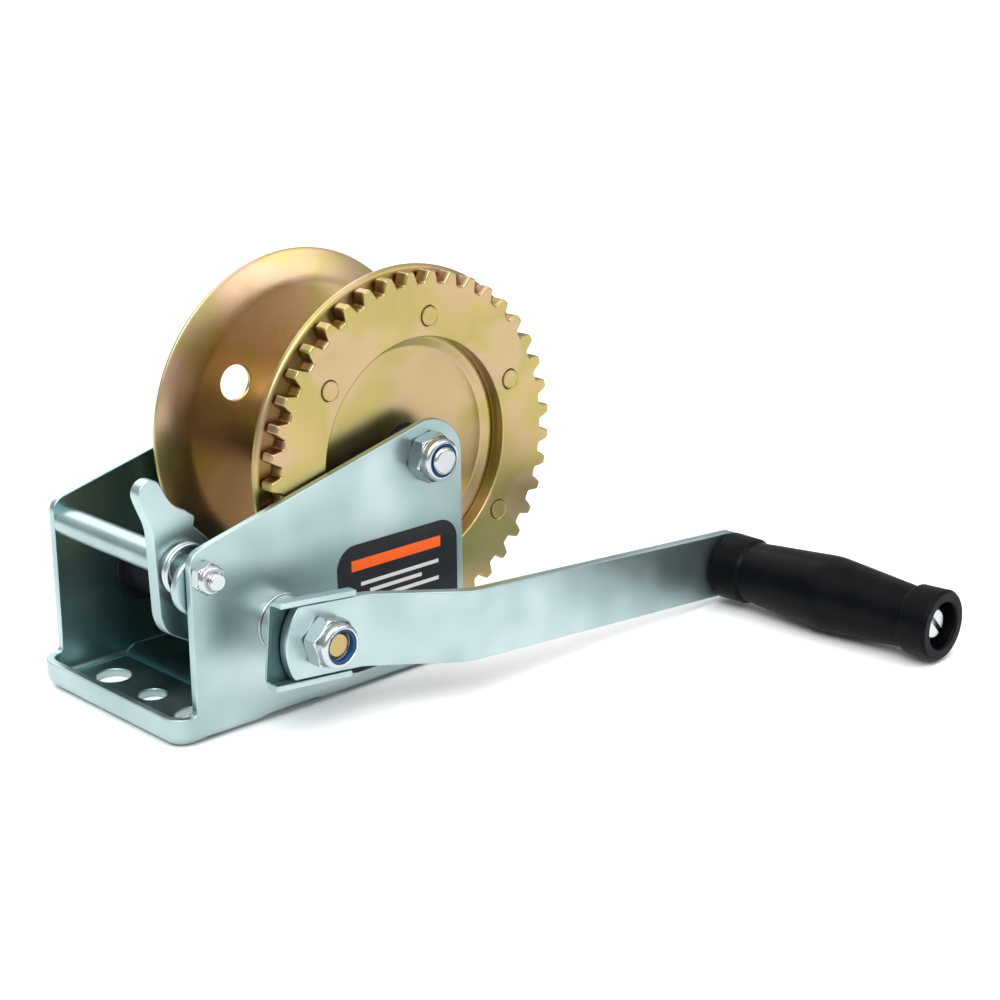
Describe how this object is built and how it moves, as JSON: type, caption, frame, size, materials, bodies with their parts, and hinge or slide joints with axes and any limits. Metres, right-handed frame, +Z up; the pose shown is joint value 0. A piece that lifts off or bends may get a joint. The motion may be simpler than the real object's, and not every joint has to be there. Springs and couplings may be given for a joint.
{
  "type": "boat trailer winch",
  "caption": "Hand winch for a boat trailer: pressed channel frame, geared rope drum, pinion shaft with a cranked arm and turning grip, and a lever pawl.",
  "frame": {"origin": "centre of the row of base bolt holes, on the underside of the base", "axes": "+X from the low front lip towards the drum end, +Y across the drum away from the crank, +Z up from the base"},
  "size_m": [0.2596, 0.2185, 0.1452],
  "materials": {
    "bright_zinc": "satin blue-white zinc plate",
    "white_zinc": "bright zinc plate",
    "yellow_zinc": "iridescent yellow zinc plate",
    "pale_nylon": "satin",
    "blue_nylon": "satin",
    "black_plastic": "satin black",
    "dark_sticker": "gloss film",
    "bush_nylon": "satin",
    "spring_steel": "bright"
  },
  "bodies": {
    "frame": {"frame": "bright_zinc", "label": "dark_sticker", "drum_axle_sleeve": "white_zinc", "drum_axle_bolt": "white_zinc", "drum_axle_nut": "white_zinc", "drum_axle_nut_ring": "blue_nylon", "shaft_near_bush": "white_zinc", "shaft_far_bush": "bush_nylon", "tie_bolt": "white_zinc", "tie_nut": "white_zinc", "tie_nut_ring": "pale_nylon", "tie_spacer_tube": "white_zinc", "pawl_spring": "spring_steel"},
    "drum": {"drum_near_flange": "yellow_zinc", "drum_far_flange": "yellow_zinc", "drum_core": "yellow_zinc", "gear_ring": "yellow_zinc", "gear_rivets": "yellow_zinc", "drum_near_bush": "bush_nylon", "drum_far_bush": "bush_nylon"},
    "crank": {"drive_shaft": "yellow_zinc", "pinion": "yellow_zinc", "shaft_washer": "white_zinc", "shaft_clip": "spring_steel", "crank_spacer": "white_zinc", "crank_bracket": "bright_zinc", "crank_arm": "bright_zinc", "crank_nut": "white_zinc", "crank_nut_ring": "blue_nylon", "grip_screw": "white_zinc", "grip_washer": "white_zinc", "grip_nut": "white_zinc"},
    "grip": {"grip": "black_plastic"},
    "pawl": {"pawl": "bright_zinc"}
  },
  "joints": [
    {"name": "drum_spin", "type": "hinge", "parent": "frame", "child": "drum", "pos_m": [0.091, 0, 0.0794], "axis": [0, 1, 0], "continuous": true},
    {"name": "crank_spin", "type": "hinge", "parent": "frame", "child": "crank", "pos_m": [0.0254, 0, 0.0345], "axis": [0, 1, 0], "continuous": true},
    {"name": "grip_spin", "type": "hinge", "parent": "crank", "child": "grip", "pos_m": [0.21965, -0.07149, 0.01477], "axis": [0.059, -0.9982, -0.006], "continuous": true},
    {"name": "pawl_pivot", "type": "hinge", "parent": "frame", "child": "pawl", "pos_m": [-0.0056, 0, 0.0585], "axis": [0, 1, 0], "range_deg": [-6, 6]}
  ],
  "couplings": [
    {"joint": "crank_spin", "follows": "drum_spin", "ratio": -3.4167}
  ]
}
